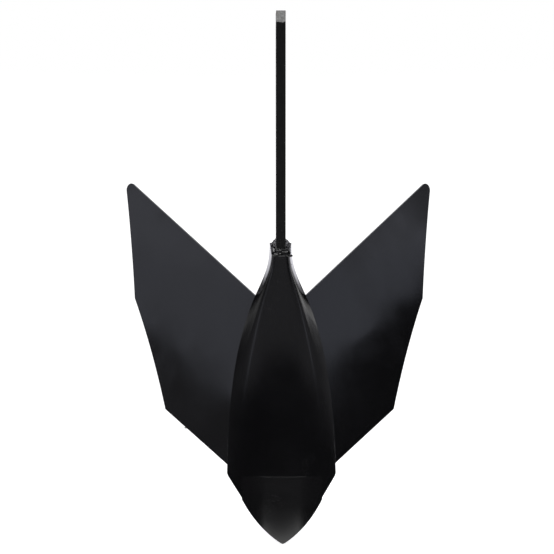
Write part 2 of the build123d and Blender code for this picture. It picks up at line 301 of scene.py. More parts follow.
def breast_foot(x):
    """Drop of the breast's lower outline: two straight lines, and an arc into its side edge."""
    x = np.abs(x)
    turn_x, turn_drop = share_half - share_lap, share_side + share_lap
    fall = (turn_drop - corner_drop) / (breast_half - turn_x)
    behind = breast_end - (breast_end - turn_drop) * x / turn_x
    rising = turn_drop - fall * (x - turn_x)
    centre_x = breast_half - corner_round
    centre_drop = turn_drop - fall * (centre_x - turn_x) - corner_round * hypot(1, fall)
    arc = centre_drop + np.sqrt(np.maximum(corner_round**2 - np.maximum(x - centre_x, 0) ** 2, 0))
    tangent = centre_x + corner_round * fall / hypot(1, fall)
    return np.where(x < turn_x, behind, np.where(x < tangent, rising, arc))


def share_foot(x):
    """Drop of the share's lower outline: an arc bowed out between its side and its tip."""
    run, fall = share_half, tip_drop - share_side
    chord = hypot(run, fall)
    radius = (chord**2 / 4 + share_bulge**2) / (2 * share_bulge)
    centre_x = run / 2 - (radius - share_bulge) * fall / chord
    centre_drop = (share_side + tip_drop) / 2 - (radius - share_bulge) * run / chord
    return centre_drop + np.sqrt(radius**2 - (np.hypot(x, tip_round) - centre_x) ** 2)


def bowed(start, end, rise, count):
    """Arc from start to end that stands rise off its chord, to the right of the way."""
    start, end = np.array(start), np.array(end)
    t = np.linspace(0, 1, count)[:, None]
    chord = end - start
    right = np.array([chord[1], -chord[0]]) / np.hypot(*chord)
    return start + t * chord + 4 * rise * t * (1 - t) * right


def lumps(a, b, seed, size, waves=9):
    """Smooth swellings between about -1 and 1: sine waves of random ways and starts, added."""
    draw = np.random.default_rng(seed)
    total = 0.0
    for _ in range(waves):
        way, start, finer = draw.uniform(0, 2 * pi), draw.uniform(0, 2 * pi), draw.uniform(0.6, 1.7)
        total = total + np.sin((a * cos(way) + b * sin(way)) * 2 * pi * finer / size + start)
    return total / waves**0.5 * 0.7


# ---- Making pieces ----


def quads(rows, cols, closed=False):
    """Faces of a grid of points kept row by row; closed joins the last column to the first."""
    row = np.arange(rows - 1)[:, None] * cols
    col = np.arange(cols if closed else cols - 1)[None, :]
    after = (col + 1) % cols
    return np.stack([row + col, row + after, row + cols + after, row + cols + col], -1).reshape(-1, 4)


def on_side(side, points):
    """Points made for the right side, where side is 1, or mirrored to the left, where it is -1."""
    return points * (side, 1, 1)


def whole_turn(count):
    """A row of angles, evenly round."""
    return np.linspace(0, 2 * pi, count, endpoint=False)[None]


def piece(name, parts, finish, body, replaces=(), ease=0.0, sharp=35.0):
    """One object from (points, faces) pairs, which are put into one mesh and finished."""
    mesh = bpy.data.meshes.new(name)
    points, faces, start = [], [], 0
    for part_points, part_faces in parts:
        part_points = np.reshape(part_points, (-1, 3))
        points.append(part_points)
        faces.append(np.asarray(part_faces) + start)
        start += len(part_points)
    mesh.from_pydata((np.concatenate(points) * MM).tolist(), [], np.concatenate(faces).tolist())
    finished(name, mesh, finish, body, replaces, ease, sharp)


def finished(name, mesh, finish, body, replaces, ease, sharp):
    """Object of a mesh: doubled points joined, faces outward, sharp edges eased, on its body."""
    work = bmesh.new()
    work.from_mesh(mesh)
    bmesh.ops.remove_doubles(work, verts=work.verts, dist=1e-6)
    bmesh.ops.dissolve_degenerate(work, edges=work.edges, dist=1e-7)
    bmesh.ops.recalc_face_normals(work, faces=work.faces)
    work.to_mesh(mesh)
    work.free()
    mesh.polygons.foreach_set("use_smooth", [True] * len(mesh.polygons))
    mesh.materials.clear()
    mesh.materials.append(finish)
    made = bpy.data.objects.new(name, mesh)
    bpy.context.scene.collection.objects.link(made)
    if ease:
        bevel = made.modifiers.new("eased", "BEVEL")
        bevel.width = ease * MM
        bevel.segments = 3
        bevel.limit_method = "ANGLE"
        bevel.angle_limit = radians(sharp)
        bevel.harden_normals = True
        bevel.use_clamp_overlap = True
    else:
        mesh.set_sharp_from_angle(angle=radians(sharp))
    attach(made, body)
    if replaces:
        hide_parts(*replaces)


def plate(front, back):
    """Closed plate between two grids of the same shape: both faces and the rim round them."""
    rows, cols = front.shape[:2]
    count = rows * cols
    grid = quads(rows, cols)
    places = np.arange(count).reshape(rows, cols)
    loop = np.concatenate([places[0, :-1], places[:-1, -1], places[-1, :0:-1], places[:0:-1, 0]])
    after = np.roll(loop, -1)
    rim = np.stack([loop, loop + count, after + count, after], -1)
    points = np.concatenate([front.reshape(-1, 3), back.reshape(-1, 3)])
    return points, np.concatenate([grid, grid[:, ::-1] + count, rim])


def ladder(ring):
    """Faces that close a ring of points: four-sided, laid across it like a ladder's rungs."""
    half = len(ring) // 2
    return np.array([[ring[i], ring[i + 1], ring[-i - 2], ring[-i - 1]] for i in range(half - 1)])


def closed_tube(rows, around):
    """Faces of a tube of points kept ring by ring, with both its ends closed."""
    first = np.arange(around)
    last = first + (rows - 1) * around
    return np.concatenate([quads(rows, around, closed=True), ladder(first[::-1]), ladder(last)])


def carried(path, across, lift, offsets):
    """Closed tube: offsets (steps, around, 2) laid along across and lift at each step of a path."""
    points = path[:, None] + offsets[..., :1] * across[:, None] + offsets[..., 1:] * lift[:, None]
    return points, closed_tube(*offsets.shape[:2])


def even(points, step):
    """Points of a line of runs, step apart, and how far each is along it."""
    points = np.asarray(points, float)
    far = np.concatenate([[0], np.cumsum(np.linalg.norm(np.diff(points, axis=0), axis=1))])
    s = np.linspace(0, far[-1], max(int(far[-1] / step), 4))
    return np.stack([np.interp(s, far, points[:, axis]) for axis in range(3)], -1), s


def rounded_ends(s, radius):
    """Size from 0 to 1 of a rod at s along it, whose ends are rounded over a radius."""
    end = np.clip(np.minimum(s, s[-1] - s) / radius, 0, 1)
    return np.sqrt(1 - (1 - end) ** 2)


def bead(runs, face_a, face_b, leg, seed):
    """Weld bead in the corner of two faces, given their outward ways, along a line of runs.

    Its profile is round, bead_fill of its leg, and stands bead_stand off the corner. It thickens
    and thins like fish scales, one each scale_pitch, with lumps over them, and its ends are round.
    """
    path, s = even(runs, 0.45)
    around, s = whole_turn(16), s[:, None]
    scales = np.sin(2 * pi * (s / scale_pitch + scale_bow * np.sin(around) ** 2))
    lumpy = lumps(s, around * leg, seed, lump_length)
    size = leg * rounded_ends(s, leg) * (bead_fill + scale_depth * scales + lump_depth * lumpy)
    across, lift = np.broadcast_to(face_a, path.shape), np.broadcast_to(face_b, path.shape)
    offsets = np.stack([size * np.cos(around), size * np.sin(around)], -1) + bead_stand * leg
    return carried(path, across, lift, offsets)


# ---- Finishes ----

black, white = (0.0, 0.0, 0.0), (1.0, 1.0, 1.0)
dust_grey, rubbed_grey = (0.03, 0.03, 0.031), (0.03, 0.03, 0.03)
bar_dark, bar_pale = (0.0007, 0.0007, 0.0007), (0.0014, 0.0014, 0.0014)
steel_dark, steel_pale = (0.24, 0.24, 0.236), (0.43, 0.43, 0.422)
rust = (0.20, 0.16, 0.13)
zinc_blue, zinc_yellow, zinc_dull = (0.62, 0.64, 0.68), (0.68, 0.65, 0.55), (0.33, 0.33, 0.33)
card_blue, room_blue = (0.80, 0.84, 1.0), (0.99, 0.98, 1.05)


class Value:
    """A value in a node tree; arithmetic on it adds the Math nodes that work it out."""

    def __init__(self, nodes, socket):
        self.nodes, self.socket = nodes, socket

    def math(self, operation, other):
        """Adds a Math node on this value and another value or number."""
        return self.nodes.node("ShaderNodeMath", {"operation": operation}, {0: self, 1: other})

    def __add__(self, other):
        return self.math("ADD", other)

    __radd__ = __add__

    def __mul__(self, other):
        return self.math("MULTIPLY", other)

    __rmul__ = __mul__

    def __sub__(self, other):
        return self.math("SUBTRACT", other)

    def __rsub__(self, other):
        return (self * -1).math("ADD", other)

    def between(self, low, high):
        """0 where this is low, 1 where it is high, and a smooth step from one to the other."""
        settings = {"interpolation_type": "SMOOTHSTEP"}
        inputs = {"Value": self, "From Min": low, "From Max": high}
        return self.nodes.node("ShaderNodeMapRange", settings, inputs)


class Nodes:
    """A node tree, with one method that adds any node to it."""

    def __init__(self, tree):
        self.tree = tree

    def give(self, socket, value):
        """Links a value to a socket, or sets a number or colour on it."""
        if isinstance(value, Value):
            self.tree.links.new(value.socket, socket)
        elif isinstance(value, tuple) and socket.type == "RGBA":
            socket.default_value = (*value, 1.0)
        else:
            socket.default_value = value

    def node(self, kind, settings, inputs, output=0):
        """Adds a node: its settings first, then the values or links of its sockets."""
        made = self.tree.nodes.new(kind)
        for setting, value in settings.items():
            setattr(made, setting, value)
        for socket, value in inputs.items():
            self.give(made.inputs[socket], value)
        return Value(self, made.outputs[output])

    def blend(self, first, second, share):
        """Colour between two, share of the way to the second."""
        return self.node("ShaderNodeMix", {"data_type": "RGBA"}, {0: share, 6: first, 7: second}, 2)

    def axes(self, vector):
        """Its x, y and z."""
        split = self.node("ShaderNodeSeparateXYZ", {}, {0: vector}).socket.node
        return [Value(self, socket) for socket in split.outputs]


class Finish(Nodes):
    """A material's nodes, round one Principled shader whose fixed values are given at the start."""

    def __init__(self, name, **fixed):
        self.material = bpy.data.materials.new(name)
        self.material.use_nodes = True
        super().__init__(self.material.node_tree)
        self.shader = self.tree.nodes["Principled BSDF"]
        for socket, value in fixed.items():
            self.give(self.shader.inputs[socket], value)
        self.place = self.node("ShaderNodeTexCoord", {}, {}, "Object")

    def noise(self, size, detail=2.0, rough=0.5, stretch=(1.0, 1.0, 1.0)):
        """Noise from 0 to 1 with features of a size in metres, drawn out along the axes by stretch."""
        scale = tuple(1.0 / (size * s) for s in stretch)
        place = self.node("ShaderNodeMapping", {}, {"Vector": self.place, "Scale": scale})
        inputs = {"Vector": place, "Scale": 1.0, "Detail": detail, "Roughness": rough}
        return self.node("ShaderNodeTexNoise", {}, inputs)

    def cells(self, size):
        """Distance to the nearest of scattered points, in cells of a size in metres."""
        return self.node("ShaderNodeTexVoronoi", {}, {"Vector": self.place, "Scale": 1.0 / size})

    def done(self, colour, roughness, bump, distance, metallic=None):
        """Links the shader's colour, roughness and bump, whose full height is distance in metres."""
        self.give(self.shader.inputs["Base Color"], colour)
        self.give(self.shader.inputs["Roughness"], roughness)
        if metallic is not None:
            self.give(self.shader.inputs["Metallic"], metallic)
        normal = self.node("ShaderNodeBump", {}, {"Strength": 1.0, "Distance": distance, "Height": bump})
        self.give(self.shader.inputs["Normal"], normal)
        return self.material


def scratches(finish, size, along, share):
    """1 in fine scratches drawn out along an axis, over a share of the surface, else 0."""
    drawn_out = tuple(60.0 if axis == along else 1.0 for axis in range(3))
    lines = finish.noise(size, detail=1.0, stretch=drawn_out)
    patches = finish.noise(0.035, detail=1.0)
    return lines.between(0.66, 0.72) * patches.between(0.62 - share, 0.70 - share)


def black_paint(name, shade, gloss, peel, worn=0.0, dusty=0.3):
    """Sprayed black enamel: orange peel, faint clouding, dust specks and a few rubbed scratches.

    gloss is its least roughness and peel the depth of its orange peel, in metres; worn is the share
    that is scratched beyond a trace, and dusty the strength of the specks.
    """
    finish = Finish(name)
    cloud = finish.noise(0.09, detail=3.0)
    specks = 1 - finish.cells(0.011).between(0.03, 0.06)
    dust = specks * finish.noise(0.02, detail=1.0).between(0.5, 0.6) * dusty
    upright, across = (scratches(finish, 0.0006, axis, worn) for axis in (2, 0))
    rubbed = upright * 0.5 + across * 0.5
    deep = tuple(0.7 * c for c in shade)
    colour = finish.blend(deep, shade, cloud.between(0.3, 0.7))
    colour = finish.blend(colour, dust_grey, dust * 0.5 + rubbed * 0.35)
    roughness = gloss + 0.06 * cloud.between(0.35, 0.65) + 0.25 * rubbed + 0.2 * dust
    bump = finish.noise(0.0045) + 0.25 * finish.noise(0.0012, detail=1.0) + 0.5 * dust
    return finish.done(colour, roughness, bump, peel)


def bar_paint(name):
    """Bar: black enamel over rolled steel, ending in a ragged line below a bare, scaled top."""
    finish = Finish(name, **{"Specular IOR Level": 0.18})
    edge = bar_high[2] - bare_top
    ragged = (finish.noise(0.004, detail=3.0) - 0.5) * (edge_ragged * MM)
    bare = (finish.axes(finish.place)[2] + ragged).between(edge * MM, (edge + edge_thin) * MM)
    mottle = finish.noise(0.0022, detail=4.0, rough=0.65)
    scale = finish.noise(0.007, detail=4.0)
    steel = finish.blend(steel_dark, steel_pale, mottle.between(0.3, 0.7))
    steel = finish.blend(steel, rust, scale.between(0.58, 0.75) * 0.5)
    rolled = finish.noise(0.0035, detail=3.0, stretch=(1.0, 1.0, 4.0))
    rubbed = scratches(finish, 0.0007, 2, 0.03)
    paint = finish.blend(bar_dark, bar_pale, rolled.between(0.3, 0.7))
    paint = finish.blend(paint, rubbed_grey, rubbed * 0.4)
    colour = finish.blend(paint, steel, bare)
    roughness = 0.45 + 0.10 * rolled + 0.2 * rubbed + bare * (0.12 + 0.2 * mottle)
    return finish.done(colour, roughness, rolled + 0.3 * mottle, 0.00012, bare * 0.85)


def zinc_plate(name):
    """Fasteners: zinc plate, faintly yellow and blue, fine-grained and dulled in patches."""
    finish = Finish(name)
    tint = finish.noise(0.006)
    dull = finish.noise(0.0025, detail=4.0, rough=0.6)
    colour = finish.blend(zinc_blue, zinc_yellow, tint.between(0.35, 0.65))
    colour = finish.blend(colour, zinc_dull, dull.between(0.55, 0.8) * 0.7)
    roughness = 0.28 + 0.25 * dull.between(0.4, 0.75)
    return finish.done(colour, roughness, finish.noise(0.0007), 0.00003, 1.0)


breast_coat = black_paint("breast_enamel", (0.0020, 0.0020, 0.0024), gloss=0.13, peel=5e-6)
# Painted light: the share's enamel is lighter than the breast's, standing in for the light that falls on
# the share
share_lit_coat = black_paint("share_lit_enamel", (0.0030, 0.0030, 0.0034), gloss=0.16, peel=1e-5, worn=0.03)
wing_coat = black_paint("wing_enamel", (0.0024, 0.0024, 0.0028), gloss=0.055, peel=2e-6)
frame_coat = black_paint("frame_enamel", (0.0040, 0.0040, 0.0042), gloss=0.24, peel=2e-5, worn=0.05)
weld_coat = black_paint("weld_enamel", (0.0024, 0.0024, 0.0026), gloss=0.08, peel=8e-6, dusty=0.4)
bar_coat = bar_paint("bar_enamel")
zinc = zinc_plate("zinc_plate")

# ---- Breast and share ----


def breast_face(inset):
    """Breast's skin as rows from its raked top edge down to its foot, drawn in by inset."""
    s = np.linspace(-1, 1, 121)[None]
    t = np.linspace(0, 1, 150)[:, None]

    def under_top(drop):
        return drop + (skin_point(s, drop, inset)[..., 1] - neck_front) * tan(neck_rake)

    def past_foot(drop):
        return drop - breast_foot(skin_point(s, drop, inset)[..., 0])

    # Each edge is looked for from well above it to well below
    top = crossing(under_top, -25.0, 12.0, halvings=24)
    foot = crossing(past_foot, corner_drop - 20, breast_end + 8, halvings=24)
    return skin_point(s, top + t * (foot - top), inset)


breast = plate(breast_face(0.0), breast_face(sheet))
piece("breast_shell", [breast], breast_coat, "root", ["breast"], 0.7)


def share_face(forward):
    """Share's face from its straight top edge down to its pointed foot."""
    x = share_half * np.sin(np.linspace(-pi / 2, pi / 2, 81))[None]
    t = np.linspace(0, 1, 61)[:, None]
    drop = share_top + t * (share_foot(x) - share_top)
    x = np.broadcast_to(x, drop.shape)
    return np.stack([x, skin_depth(x, drop, 0.0, forward), neck_z - drop], -1)


share = plate(share_face(share_lead), share_face(0.0))
piece("share_plate", [share], share_lit_coat, "root", ["share"], 0.4)

# ---- Wings ----


def on_wing(along, up, out=0.0):
    """Point of the right wing: along it from the hinge, up the hinge, out from its front face."""
    along, up, out = (np.asarray(v, float)[..., None] for v in (along, up, out))
    return hinge + along * along_way + up * up_way + (out - knuckle_r) * out_way


def wing_outline():
    """Wing's outer edge from its hip over the shoulder to its tip, rounded by an arc of tip_fillet."""
    lower = bowed(wing_hip, wing_shoulder, -wing_hollow, 40)
    upper = bowed(wing_shoulder, wing_tip, -wing_waist, 40)
    tip = np.array(wing_tip)
    down = upper[-2] - tip
    inward = np.array([-1.0, -upper_slope])
    down, inward = down / np.hypot(*down), inward / np.hypot(*inward)
    half = np.arccos(down @ inward) / 2
    reach = tip_fillet / tan(half)
    centre = tip + (down + inward) / np.hypot(*(down + inward)) * tip_fillet / sin(half)
    start, end = tip + down * reach - centre, tip + inward * reach - centre
    # The arc's points are its two ends, weighed by sines of the angle turned
    turn = np.linspace(0, 1, 12)[:, None]
    swept = pi - 2 * half
    arc = start * np.sin((1 - turn) * swept) + end * np.sin(turn * swept)
    arc = centre + arc / sin(swept)
    upper = upper[np.hypot(*(upper - tip).T) > reach]
    return np.concatenate([lower[:-1], upper, arc])


def wing_sides():
    """Front and back of the right wing: straight runs from inner edge to outline, barely wavy."""
    outer = wing_outline()
    far = np.concatenate([[0], np.cumsum(np.hypot(*np.diff(outer, axis=0).T))])
    high = wing_tip[1] - upper_slope * (wing_tip[0] - wing_inner)
    low = wing_hip[1] - lower_slope * (wing_hip[0] - wing_inner)
    inner = np.stack([np.full(len(outer), wing_inner), low + (high - low) * far / far[-1]], -1)
    t = np.linspace(0, 1, 70)[None, :, None]
    flat = inner[:, None] + t * (outer - inner)[:, None]
    along, up = flat[..., 0], flat[..., 1]
    wave = wing_wave * lumps(along, up, 31, wave_length) * np.clip(along / wave_start, 0, 1)
    return on_wing(along, up, wave), on_wing(along, up, wave - wing_thick)


wing_front, wing_back = wing_sides()
for hand, side in reversed(HANDS):
    wing = plate(on_side(side, wing_front), on_side(side, wing_back))
    piece(f"{hand}_wing_plate", [wing], wing_coat, f"{hand}_wing_body", [f"{hand}_wing"], 0.5)

# ---- Bar, frog, hinges and brackets: the CAD's own shapes with eased edges ----


def eased(node, finish, body, ease, sharp=30.0):
    """A CAD node's shape with its flat faces made whole and its sharp edges rounded by ease."""
    mesh = frame["nodes"][node].data.copy()
    work = bmesh.new()
    work.from_mesh(mesh)
    bmesh.ops.remove_doubles(work, verts=work.verts, dist=1e-6)
    bmesh.ops.dissolve_limit(work, angle_limit=radians(0.8), verts=work.verts, edges=work.edges)
    work.to_mesh(mesh)
    work.free()
    for layer in [a for a in mesh.attributes if a.name == "custom_normal"]:
        mesh.attributes.remove(layer)
    finished(f"{node}_eased", mesh, finish, body, [node], ease, sharp)


eased("shank", bar_coat, "root", 0.8)
for node in ("frog", "clamp_bracket", "left_hinge_lugs", "right_hinge_lugs"):
    eased(node, frame_coat, "root", 0.5)
for hand, _ in HANDS:
    for part in ("wing_knuckles", "wing_lug"):
        eased(f"{hand}_{part}", frame_coat, f"{hand}_wing_body", 0.4)
    eased(f"{hand}_arm", frame_coat, f"{hand}_arm_body", 0.5)
    eased(f"{hand}_hinge_washer", zinc, "root", 0.2)
    eased(f"{hand}_arm_washer", zinc, f"{hand}_wing_body", 0.2)
eased("clamp_washers", zinc, "root", 0.2)

# ---- Pins, bolts and nuts, turned about the hinges' direction ----


def level(x, y, height):
    """Point of a plane square to the hinges: x across, y back from the hinges, height up them."""
    x, y, height = (np.asarray(v, float)[..., None] for v in (x, y, height))
    return hinge * (0, 1, 1) + x * X_WAY + y * back_way + height * up_way


def turned(middle, radius, heights, around=48):
    """Closed solid about an axis of hinge direction: radius (rows, around) at heights (rows, 1)."""
    angle = whole_turn(around)
    radius, heights = np.broadcast_arrays(radius, heights, angle)[:2]
    points = level(middle[0] + radius * np.cos(angle), middle[1] + radius * np.sin(angle), heights)
    return points.reshape(-1, 3), closed_tube(len(radius), around)


def hexagon(middle, start, thick, both=False, around=96):
    """Hexagon head or nut: six flats, cut at its outer end, or at both, by a cone of nut_bevel."""
    depth = np.linspace(0, 1, 15)[:, None] * abs(thick)
    flats = nut_flats / 2 / np.cos((whole_turn(around) + pi / 6) % (pi / 3) - pi / 6)
    corner = nut_flats / 2 * bevel_start
    cone = corner + (abs(thick) - depth) / tan(nut_bevel)
    if both:
        cone = np.minimum(cone, corner + depth / tan(nut_bevel))
    return turned(middle, np.minimum(flats, cone), start + np.sign(thick) * depth, around)


def threaded(middle, start, end, around=36):
    """Threaded rod from start to end, chamfered at the end: a triangle wave along a helix."""
    way, length = np.sign(end - start), abs(end - start)
    heights = np.linspace(0, length, int(length / pitch * 10))[:, None]
    turn = (heights / pitch - way * whole_turn(around) / (2 * pi)) % 1
    depth = thread_depth * pitch * np.abs(2 * turn - 1)
    chamfer = bolt_r - thread_chamfer + np.clip(length - heights, 0, 1)
    return turned(middle, np.minimum(bolt_r - depth, chamfer), start + way * heights, around)


def bored_nut(middle, seat, thick, around=96):
    """Nut as one closed ring: outside down its flats, inside up its countersunk bore."""
    outside, _ = hexagon(middle, seat, thick, both=True, around=around)
    rows = len(outside) // around
    depth = np.linspace(abs(thick), 0, rows)[:, None]
    sink = np.maximum(bore_sink - np.minimum(depth, abs(thick) - depth), 0)
    inside, _ = turned(middle, bolt_r + bore_play + sink, seat + np.sign(thick) * depth, around)
    points = np.concatenate([outside, inside, outside[:around]])
    return points, quads(2 * rows + 1, around, closed=True)


arm_top = bracket_thick / 2 + 2 * arm_gap + arm_thick
pivot_back = knuckle_r + wing_thick + wing_lug_back
pivot = (
    hinge[0] + wing_lug_along * cos(sweep) - pivot_back * sin(sweep),
    wing_lug_along * sin(sweep) + pivot_back * cos(sweep),
)
for hand, side in HANDS:
    face = -side              # the left arm lies on its lug, and the right one under it
    middle = (side * pivot[0], pivot[1])
    seat = face * (arm_top + washer_thick)
    tip = seat + face * (nut_thick + thread_spare)
    under = -face * bracket_thick / 2
    body = f"{hand}_wing_body"
    bolt = [hexagon(middle, under, -face * head_thick), threaded(middle, under, tip)]
    nut = bored_nut(middle, seat, face * nut_thick)
    piece(f"{hand}_pivot_bolt", bolt, zinc, body, [f"{hand}_arm_bolt"])
    piece(f"{hand}_pivot_nut", [nut], zinc, body, [f"{hand}_arm_nut"])

clamp_middle = (0.0, clamp_reach)
clamp_seat = arm_top + washer_thick
nut_seat = clamp_seat + spring_thick
clamp_tip = nut_seat + nut_thick + thread_spare
bolt = [hexagon(clamp_middle, -clamp_seat, -head_thick), threaded(clamp_middle, -clamp_seat, clamp_tip)]
nut = bored_nut(clamp_middle, nut_seat, nut_thick)
piece("clamp_screw", bolt, zinc, "root", ["clamp_bolt"])
piece("clamp_screw_nut", [nut], zinc, "root", ["clamp_nut"])


def split_ring():
    """Spring washer: a square wire wound nearly once round, with its two cut ends apart."""
    steps = 90
    turn = np.linspace(ring_cut, 2 * pi - ring_cut, steps)[:, None]
    inner, outer = ring_radii
    half = spring_thick / 2 - ring_slack
    radius = np.array([[inner, outer, outer, inner]])
    high = np.array([[-half, -half, half, half]]) + (turn / (2 * pi) - 0.5) * ring_wind
    x, y = clamp_middle[0] + radius * np.cos(turn), clamp_middle[1] + radius * np.sin(turn)
    points = level(x, y, clamp_seat + spring_thick / 2 + high)
    ends = [[0, 1, 2, 3], [4 * (steps - 1) + i for i in (3, 2, 1, 0)]]
    return points.reshape(-1, 3), np.concatenate([quads(steps, 4, closed=True), ends])


piece("clamp_split_ring", [split_ring()], zinc, "root", ["clamp_spring_washer"], 0.25)

# Hinge pins and cotters
pin_top = lug_heights[1] + lug_half
washer_foot = lug_heights[0] - lug_half - washer_thick
cotter_height = washer_foot - cotter_drop
pin_foot = washer_foot - pin_tail
dome_start = pin_top + head_wall
head_r = knuckle_r - head_clear


def hinge_pin(side, around=48):
    """Headed pin: a low dome on a plain rod with a chamfered foot."""
    rows = [(0.0, pin_foot), (bolt_r - pin_chamfer, pin_foot), (bolt_r, pin_foot + pin_chamfer)]
    rows += [(bolt_r, pin_top), (head_r, pin_top), (head_r, dome_start)]
    rows += [(head_r * cos(t), dome_start + head_dome * sin(t)) for t in np.linspace(0.15, pi / 2, 8)]
    radius, heights = (np.array(column)[:, None] for column in zip(*rows))
    points, _ = turned((side * hinge[0], 0.0), radius, heights, around)
    return points, quads(len(rows), around, closed=True)


def tube(runs, radius, passes=30):
    """Round wire along a line of runs, bent smoothly by passes of averaging, with rounded ends."""
    path, s = even(runs, 0.25)
    for _ in range(passes):
        path[1:-1] = (path[:-2] + 2 * path[1:-1] + path[2:]) / 4
    way = np.gradient(path, axis=0)
    way /= np.linalg.norm(way, axis=1)[:, None]
    across = np.cross(way, back_way)
    across /= np.maximum(np.linalg.norm(across, axis=1)[:, None], 1e-6)
    lift = np.cross(across, way)
    angle, size = whole_turn(12), radius * rounded_ends(s[:, None], radius)
    return carried(path, across, lift, np.stack([size * np.cos(angle), size * np.sin(angle)], -1))


def cotter(side):
    """Split pin: a loop outside the pin, two half legs through it, their ends bent apart."""
    turns = np.linspace(0, pi, 14)
    line = [(loop_reach + loop_half * cos(t), wire_half + loop_bulge * sin(t)) for t in turns]
    line += [(-out, rise) for out, rise in leg_bends]
    legs = []
    for high in (-1, 1):
        run = [level(side * (hinge[0] + out), 0.0, cotter_height + high * rise) for out, rise in line]
        legs.append(tube(run, wire_r))
    return legs


for hand, side in HANDS:
    piece(f"{hand}_pin", [hinge_pin(side)], zinc, "root", [f"{hand}_hinge_pin"], sharp=40.0)
    piece(f"{hand}_split_pin", cotter(side), zinc, "root", [f"{hand}_hinge_cotter"])

# ---- Welds ----


def weld(name, beads, body, replaces=()):
    """Piece of weld metal, smooth but for its sharpest creases."""
    piece(name, beads, weld_coat, body, replaces, sharp=60.0)


def neck_bead():
    """Weld that fills the step from the bar down to the sheet's raked edge, round the bar's front.

    A line is carried round the bar from one side to the other. At each place the weld's face runs
    from neck_rise up the bar out to the sheet's edge, swollen by lumps of two sizes, and its
    underside lies in the sheet.
    """
    s = np.linspace(-1, 1, 150)[:, None]
    t = np.linspace(0, 1, 26)[None]
    along = s * (neck_run + bar_half)
    past_corner = np.abs(along) - bar_half
    x = np.clip(along, -bar_half, bar_half)
    y = bar_front + np.maximum(past_corner, 0)
    corner = np.clip((past_corner + neck_turn / 2) / neck_turn, 0, 1) * pi / 2
    out_x, out_y = np.sign(s) * np.sin(corner), -np.cos(corner)
    end = np.sqrt(np.clip((1 - np.abs(s)) / neck_taper, 0, 1))
    down = neck_face * t
    swell = neck_swell * np.sin(pi * t) ** 0.8 * (1 + 0.7 * lumps(along, down, 5, 7.0))
    swell = swell + neck_lumps * lumps(along, down, 8, 4.6) * np.sin(pi * t) ** 0.5
    width = np.where(np.abs(s) < neck_narrow, *neck_widths) * (0.35 + 0.65 * end)
    width = width + neck_waver * lumps(along, 0 * t, 4, 9.0)
    out = (width + neck_sunk) * t - neck_sunk + 0.55 * swell
    rise = neck_rise * end * (1 - t) + 0.7 * swell
    base = neck_z + (y + width * out_y - neck_front) * tan(neck_rake) + 0.3
    under_out = np.minimum(out, width - 1.2)
    face = np.stack([x + out * out_x, y + out * out_y, base + rise], -1)
    under = np.stack([x + under_out * out_x, y + under_out * out_y, base - neck_deep], -1)
    return plate(face, under)


def ball(spot, radii, rows=9, around=12):
    """Ball drawn out to a radius along each axis, its poles at its front and back."""
    up = np.linspace(-pi / 2, pi / 2, rows)[:, None]
    turn = whole_turn(around)
    way = np.stack([np.cos(up) * np.cos(turn), np.sin(up) + 0 * turn, np.cos(up) * np.sin(turn)], -1)
    return np.asarray(spot) + way.reshape(-1, 3) * radii, quads(rows, around, closed=True)


def droplets(count, seed):
    """Spatter: small drops left round the neck weld, on the breast and the bar's front by turns."""
    draw = np.random.default_rng(seed)
    drops = []
    for i in range(count):
        size = draw.uniform(0.25, 0.65)
        if i % 2:
            spot = np.array([draw.uniform(-5, 5), bar_front, neck_z + draw.uniform(10, 42)])
        else:
            drop, s = draw.uniform(4, 60), draw.uniform(-0.7, 0.7)
            spot = skin_point(np.array(s), np.array(drop))
        drops.append(ball(spot, size))
    return drops


weld("neck_fillet", [neck_bead()], "root", ["neck_weld"])
weld("neck_spatter", droplets(count=22, seed=12), "root")
weld("neck_burr", [ball((11.9, neck_front + 2, neck_z + 0.6), radii=(3.0, 1.5, 1.7))], "root")
burr_up = wing_hip[1] - lower_slope * (wing_hip[0] - burr_along)
burr_spot = on_side(-1, on_wing(burr_along, burr_up, -wing_thick / 2))
trim_burr = ball(burr_spot, radii=(4.0, 0.9, 0.9))
piece("trim_burr", [trim_burr], wing_coat, "left_wing_body", sharp=60.0)

frog_beads = []
drops = np.linspace(web_start + 4, web_end - 4, 40)
depths = skin_depth(np.full(drops.shape, web_half), drops, sheet)
for side in (-1, 1):
    run = [(side * web_half, bar_front + 0.2, neck_z - drop) for drop in (web_start, bar_bead_end)]
    frog_beads.append(bead(run, X_WAY * side, FRONT_WAY, leg=3.0, seed=21 + side))
    run = [(side * web_half, y, neck_z - drop) for y, drop in zip(depths, drops)]
    frog_beads.append(bead(run, X_WAY * side, -FRONT_WAY, leg=3.5, seed=25 + side))
weld("frog_welds", frog_beads, "root")


def lug_beads(side):
    """Beads above and below each hinge lug, along the frog."""
    ends = (lug_span[0] + 2, lug_span[1] - 1)
    beads = []
    for i, height in enumerate(lug_heights):
        for face in (-1, 1):
            run = [level(side * web_half, y, height + face * lug_half) for y in ends]
            seed = 40 + 4 * i + face + side
            beads.append(bead(run, X_WAY * side, up_way * face, leg=3.0, seed=seed))
    return beads


def wing_beads():
    """Beads on the right wing: both sides of each knuckle's foot, and above and below the arm's lug."""
    beads = []
    for i, (start, end) in enumerate(knuckle_spans):
        for edge in (-1, 1):
            run = [on_wing(edge * foot_half, up) for up in (start + 3, end - 3)]
            beads.append(bead(run, along_way * edge, out_way, leg=2.6, seed=60 + 4 * i + edge))
    ends = [wing_lug_along + half * (wing_lug_wide / 2 - 3) for half in (-1, 1)]
    for face in (-1, 1):
        run = [on_wing(along, face * bracket_thick / 2, -wing_thick) for along in ends]
        beads.append(bead(run, -out_way, up_way * face, leg=3.4, seed=80 + face))
    return beads


for hand, side in HANDS:
    weld(f"{hand}_lug_welds", lug_beads(side), "root")
    beads = [(on_side(side, points), faces) for points, faces in wing_beads()]
    weld(f"{hand}_wing_welds", beads, f"{hand}_wing_body")

